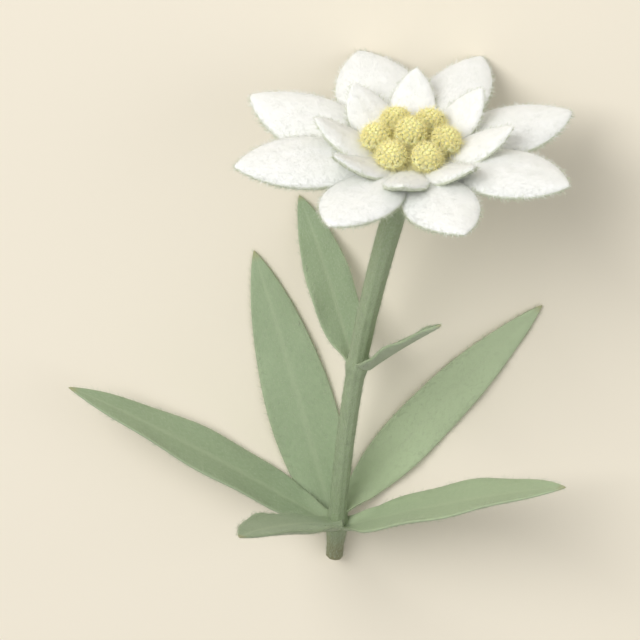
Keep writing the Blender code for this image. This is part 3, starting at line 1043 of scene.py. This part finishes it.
def draw_scales(bm, place_in_head, radius, height):
    """Rows of woolly scales round the head, brown at their tips."""
    tint = bm.verts.layers.float["tint"]
    place = bm.verts.layers.float_vector["place"]
    turn_in_head = place_in_head.to_3x3()

    def wide(t):
        base_width = SCALE_WIDTH * SCALE_BASE_SHARE
        return half_width(t, SCALE_WIDTH, base_width, SCALE_PEAK, SCALE_SHARPNESS)

    def deep(t):
        return SCALE_DEPTH / 2 * round_tip(t)

    def edge_raise(t, across, half):
        return -SCALE_CROWN * half * across * across

    def relief(t, lateral, through):
        return 0

    for row, (top, out) in enumerate(SCALE_ROWS):
        for index in range(SCALES):
            angle = 2 * math.pi * (index + row / 2) / SCALES
            outward = Vector((math.cos(angle), math.sin(angle), 0))
            side = turn_in_head @ Vector((outward.y, -outward.x, 0))

            def spine(t, outward=outward, side=side, top=top, out=out):
                polar = math.pi * (1 - SCALE_FOOT - (1 - SCALE_FOOT - (1 - top)) * t)
                ring = math.sin(polar)
                local = outward * (ring * radius + out)
                local.z = height / 2 * (1 + math.cos(polar))
                normal = Vector((outward.x * ring, outward.y * ring, math.cos(polar)))
                return place_in_head @ local, side, (turn_in_head @ normal).normalized()

            first = len(bm.verts)
            blade(bm, spine, wide, deep, edge_raise, relief, SCALE_SIDES, SCALE_RINGS)
            bm.verts.ensure_lookup_table()
            for vert in bm.verts[first:]:
                brown = max(0, (vert[place].x - SCALE_BROWN_FROM) / SCALE_BROWN_SPAN)
                vert[tint] = TINT_WOOL + (TINT_BROWN - TINT_WOOL) * SCALE_BROWN * brown


def make_head(material, name, radius, height, florets, place_in_bloom, seed):
    draw = random.Random(seed)
    bm = new_drawing()
    whole = BLOOM @ place_in_bloom
    draw_head_body(bm, whole, radius, height)
    draw_scales(bm, whole, radius, height)
    turn = whole.to_3x3()
    for index in range(florets):
        level = 1 - FLORET_REACH_DOWN * (index + 0.5) / florets
        ring = math.sqrt(1 - level * level)
        angle = index * GOLDEN_ANGLE + draw.uniform(-FLORET_TURN_DRAW, FLORET_TURN_DRAW)
        direction = Vector((ring * math.cos(angle), ring * math.sin(angle), level))
        surface = Vector((direction.x * radius, direction.y * radius, direction.z * height / 2))
        axis = (direction + Vector((0, 0, FLORET_UPTURN))).normalized()
        axis += Vector([draw.uniform(-1, 1) for _ in range(3)]) * FLORET_TILT_DRAW
        frame_here = turn @ axis.to_track_quat("Z", "Y").to_matrix()
        root = whole @ (Vector((0, 0, height / 2)) + surface)
        size = draw.uniform(*FLORET_SIZE_DRAW)
        if level > BUD_LEVEL:
            draw_bud(bm, frame_here, root, size)
        else:
            draw_open_floret(bm, frame_here, root, size)
    head = new_piece(name + "_florets", bm, material)
    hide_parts(name)
    return head


def make_heads(material):
    heads = []
    centre_place = Matrix.Translation((0, 0, HEAD_FOOT + CLEAR))
    heads.append(make_head(material, "head_centre", CENTRE_HEAD_RADIUS - FLORET_STAND,
                           CENTRE_HEAD_HEIGHT, CENTRE_FLORETS, centre_place, HEAD_SEED))
    for index in range(RING_HEADS):
        azimuth = index * 2 * math.pi / RING_HEADS
        outward = Vector((math.cos(azimuth), math.sin(azimuth), 0))
        across = Vector((-outward.y, outward.x, 0))
        offset = outward * RING_RADIUS + Vector((0, 0, HEAD_FOOT))
        place = Matrix.Translation(offset) @ Matrix.Rotation(RING_TILT, 4, across)
        heads.append(make_head(material, f"head_{index + 1}", RING_HEAD_RADIUS - FLORET_STAND,
                               RING_HEAD_HEIGHT, RING_FLORETS, place, HEAD_SEED + 1 + index))
    return heads


# Wool: fine fibres as ribbons that arch off the skin and come to a point

def read_vectors(collection, name):
    values = np.empty(len(collection) * 3, np.float32)
    collection.foreach_get(name, values)
    return values.reshape(-1, 3).astype(float)


def unit(vectors):
    return vectors / np.maximum(np.linalg.norm(vectors, axis=1, keepdims=True), 1e-12)


def sample_skin(thing, count, density, rng):
    """Random places on a piece's skin: point, normal, how the blade runs, and place on it."""
    mesh = thing.data
    mesh.calc_loop_triangles()
    corners = np.empty(len(mesh.loop_triangles) * 3, np.int32)
    mesh.loop_triangles.foreach_get("vertices", corners)
    corners = corners.reshape(-1, 3)
    points = read_vectors(mesh.vertices, "co")
    normals = read_vectors(mesh.vertices, "normal")
    runs = read_vectors(mesh.attributes["along"].data, "vector")
    places = read_vectors(mesh.attributes["place"].data, "vector")
    first, second, third = (points[corners[:, k]] for k in range(3))
    area = np.linalg.norm(np.cross(second - first, third - first), axis=1)
    weight = area * density(places[corners].mean(axis=1), unit(normals[corners].mean(axis=1)))
    chosen = rng.choice(len(corners), size=count, p=weight / weight.sum())
    shares = rng.dirichlet((1, 1, 1), count)[:, :, None]

    def blend(values):
        return (values[corners[chosen]] * shares).sum(axis=1)

    return blend(points), unit(blend(normals)), unit(blend(runs)), blend(places)


def edge_share(places):
    """1 at the margin of a blade and 0 on its faces."""
    return np.clip((np.abs(places[:, 1]) - MARGIN_FROM) / (1 - MARGIN_FROM), 0, 1)


def grow_wool(name, skins, material, slot, seed, density, length, lift, width, spread, curl):
    """A piece of fibres on one or more skins.

    skins pairs each piece with its number of fibres; density(places, normals) says how
    thickly they stand; length and lift each pair a value on the faces with what the margin
    adds, lift being the slope that a fibre starts with.
    """
    rng = np.random.default_rng(seed)
    samples = [sample_skin(thing, count, density, rng) for thing, count in skins]
    points, normals, runs, places = (np.concatenate(parts) for parts in zip(*samples))
    count = len(points)
    flat = unit(runs - normals * (runs * normals).sum(axis=1, keepdims=True))
    aside = np.cross(normals, flat)
    angle = rng.normal(0, spread, (count, 1))
    heading = flat * np.cos(angle) + aside * np.sin(angle)
    across = np.cross(normals, heading)
    margin = edge_share(places)
    long = ((length[0] + length[1] * margin) * rng.uniform(*FIBRE_LENGTH_DRAW, count))[:, None]
    slope = ((lift[0] + lift[1] * margin) * rng.uniform(*FIBRE_LIFT_DRAW, count))[:, None]
    half = width / 2 * rng.uniform(*FIBRE_WIDTH_DRAW, (count, 1))
    bend = rng.normal(0, curl, (count, 2))
    root = points - normals * (width * FIBRE_ROOT)
    middle = points + (heading * 0.5 + across * bend[:, :1]) * long
    middle = middle + normals * (slope * 0.5 * long)
    tip = points + (heading + across * bend[:, 1:]) * long
    tip = tip + normals * (slope * long * rng.uniform(*FIBRE_TIP_DRAW, (count, 1)))
    aside_root = across * half
    aside_middle = across * half * FIBRE_TAPER
    ribbon = np.stack([root - aside_root, root + aside_root,
                       middle - aside_middle, middle + aside_middle, tip], axis=1)
    verts = ribbon.reshape(-1, 3)
    verts[:, 2] = np.maximum(verts[:, 2], 0)
    start = np.arange(count)[:, None] * 5
    quads = (start + np.array([0, 1, 3, 2])).tolist()
    points_of = (start + np.array([2, 3, 4])).tolist()
    mesh = bpy.data.meshes.new(name)
    mesh.from_pydata(verts.tolist(), [], quads + points_of)
    return finish_piece(name, mesh, material)


def add_bract_felt(star, white, painted_shade_felt):
    """White felt on the faces that look up the bloom, and felt painted greyer as shade on all the
    others.
    """
    up_bloom = np.array(UP_BLOOM)

    def covered(places):
        return np.where(places[:, 0] > ROOT_SHARE, 1, ROOT_COVER)

    def above(places, normals):
        return covered(places) * (normals @ up_bloom > FELT_DIVIDE)

    def below(places, normals):
        # The faces that look away from the top of the bloom, whose felt is painted greyer as shade
        return covered(places) * (normals @ up_bloom <= FELT_DIVIDE)

    skins = [(star, BRACT_FIBRES)]
    grow_wool("bract_felt_above", skins, white, "bract", 11, above, **BRACT_FIBRE)
    grow_wool("bract_felt_painted_shade", skins, painted_shade_felt, "bract", 12, below, **BRACT_FIBRE)


def add_leaf_wool(leaves, material):
    """Wool on the leaves, thicker below and at the margins, and shared out by their lengths."""
    def density(places, normals):
        under = places[:, 2] < 0
        return LEAF_COVER + LEAF_COVER_UNDER * under + LEAF_COVER_MARGIN * edge_share(places)

    lengths = [row[3] for row in LEAVES]
    skins = [(leaf, int(LEAF_FIBRES * length / sum(lengths)))
             for leaf, length in zip(leaves, lengths)]
    grow_wool("leaf_wool", skins, material, "leaf", 21, density, **LEAF_FIBRE)


def add_head_wool(heads, star, material):
    """Wool between the florets and on the cushion, which runs the heads together."""
    def on_heads(places, normals):
        return (places[:, 2] > HEAD_BODY).astype(float)

    def on_cushion(places, normals):
        on_top = np.isclose(places, CUSHION_PLACE, atol=1e-4).all(axis=1)
        return (on_top & (normals @ np.array(UP_BLOOM) > CUSHION_FLATNESS)).astype(float)

    skins = [(head, HEAD_FIBRES) for head in heads]
    grow_wool("head_wool", skins, material, "head", 41, on_heads, **HEAD_FIBRE)
    skins = [(star, CUSHION_FIBRES)]
    grow_wool("cushion_wool", skins, material, "head", 42, on_cushion, **CUSHION_FIBRE)


def add_stem_wool(stem, material):
    """Wool on the stem's rind, and none on the cut face."""
    def on_rind(places, normals):
        return (places[:, 2] > STEM_RIND).astype(float)

    skins = [(stem, STEM_FIBRES)]
    grow_wool("stem_wool", skins, material, "stem", 31, on_rind, **STEM_FIBRE)


# Stage

def add_floor(material):
    bm = bmesh.new()
    bmesh.ops.create_grid(bm, x_segments=1, y_segments=1, size=FLOOR_SIZE / 2)
    mesh = bpy.data.meshes.new("floor")
    bm.to_mesh(mesh)
    bm.free()
    mesh.materials.append(material)
    floor = bpy.data.objects.new("floor", mesh)
    floor.location.z = -FLOOR_DROP
    bpy.context.scene.collection.objects.link(floor)


def add_light(name, direction, distance, size, power, colour):
    data = bpy.data.lights.new(name, "AREA")
    data.shape = "DISK"
    data.size = size
    data.energy = power
    data.color = colour
    light = bpy.data.objects.new(name, data)
    light.location = CAMERA_AIM + Vector(direction).normalized() * distance
    light.rotation_euler = Vector(direction).to_track_quat("Z", "Y").to_euler()
    light.visible_camera = False
    bpy.context.scene.collection.objects.link(light)


def add_lights():
    world = bpy.data.worlds.new("studio")
    world.use_nodes = True
    background = world.node_tree.nodes["Background"]
    background.inputs["Color"].default_value = SKY
    background.inputs["Strength"].default_value = SKY_STRENGTH
    bpy.context.scene.world = world
    for row in LIGHTS:
        add_light(*row)


def add_camera():
    """Looks at the plant as the picture does: from in front of it, and down on the bloom."""
    up_plant = LEAF_FRAME @ Vector((0, 0, 1))
    front = LEAF_FRAME @ Vector((math.sin(VIEW_TURN), -math.cos(VIEW_TURN), 0))
    towards = front * math.cos(LOOK_DOWN) + up_plant * math.sin(LOOK_DOWN)
    picture_up = up_plant * math.cos(LOOK_DOWN) - front * math.sin(LOOK_DOWN)
    right = picture_up.cross(towards)
    data = bpy.data.cameras.new("camera")
    data.sensor_width = SENSOR
    data.lens = SENSOR * CAMERA_DISTANCE / PICTURE_WIDTH
    data.clip_start = 0.01
    data.clip_end = 20
    camera = bpy.data.objects.new("camera", data)
    turn = Matrix((right, picture_up, towards)).transposed().to_4x4()
    camera.matrix_world = Matrix.Translation(CAMERA_AIM + towards * CAMERA_DISTANCE) @ turn
    bpy.context.scene.collection.objects.link(camera)
    bpy.context.scene.camera = camera


def main():
    leaf_skin = leaf_material()
    stem = make_stem(stem_material())
    leaves = [make_leaf(leaf_skin, *row) for row in LEAVES]
    star = make_bracts(bract_material())
    heads = make_heads(head_material())
    add_bract_felt(star, felt_material("bract wool", FELT_WHITE, FELT_SHADE, FINE_DRIFT),
                   felt_material("bract wool painted shade", FELT_PAINTED_SHADE, FELT_PAINTED_SHADE_DARK, FINE_DRIFT))
    add_leaf_wool(leaves, felt_material("leaf wool", LEAF_WOOL, LEAF_UNDER, BROAD_DRIFT))
    add_head_wool(heads, star, felt_material("head wool", HEAD_FLUFF, HEAD_WOOL, FINE_DRIFT))
    add_stem_wool(stem, felt_material("stem wool", STEM_WOOL, LEAF_UNDER, BROAD_DRIFT))
    add_floor(floor_material())
    add_lights()
    add_camera()
    bpy.context.scene.view_settings.view_transform = "Standard"


main()
